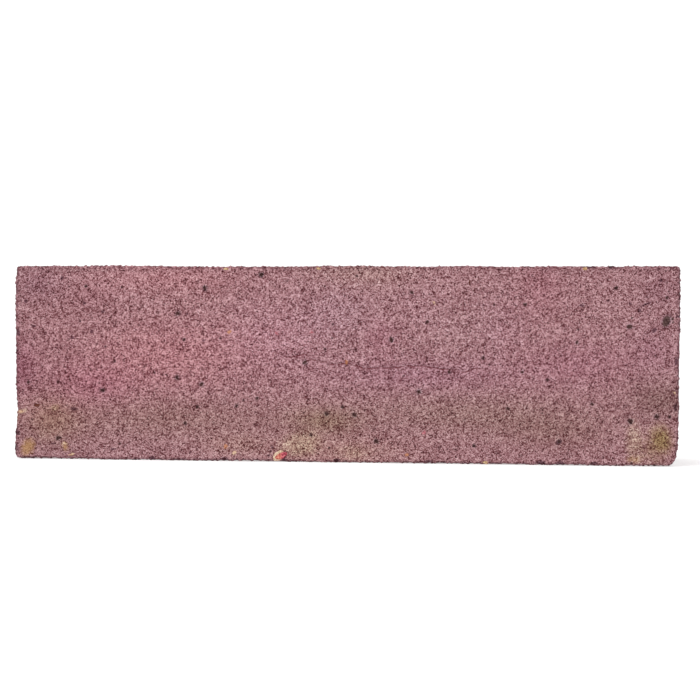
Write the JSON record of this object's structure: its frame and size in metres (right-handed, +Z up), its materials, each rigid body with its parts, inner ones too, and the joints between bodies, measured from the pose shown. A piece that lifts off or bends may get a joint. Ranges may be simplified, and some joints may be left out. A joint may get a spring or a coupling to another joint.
{
  "type": "fired clay brick",
  "caption": "Solid fired clay brick, slightly tapered, with softly worn arrises, a sandy mauve face, iron spots, grog grains and a layered nodule in its lower arris.",
  "frame": {"origin": "middle of the brick's footprint, on the plane of its lower bed", "axes": "+X along the length towards the taller end, +Y from the spotted front stretcher face to the back one, +Z up from the lower bed"},
  "size_m": [0.24, 0.115, 0.0724],
  "materials": {
    "fired_clay": "matte",
    "cream_clay": "matte",
    "red_clay": "matte",
    "iron_spot": "matte",
    "rust": "matte",
    "orange_clay": "matte",
    "rose_clay": "matte",
    "yellow_clay": "matte",
    "buff_clay": "matte"
  },
  "bodies": {
    "root": {"fired_clay_body": "fired_clay", "cream_nodule_rind": "cream_clay", "red_nodule_core": "red_clay", "haloed_iron_nodule": "iron_spot", "coarse_iron_nodules": "iron_spot", "fine_iron_nodules": "iron_spot", "rust_grains": "rust", "cream_grog": "cream_clay", "orange_grog": "orange_clay", "rose_grog": "rose_clay", "yellow_grog": "yellow_clay", "buff_clay_lenses": "buff_clay"}
  },
  "joints": []
}
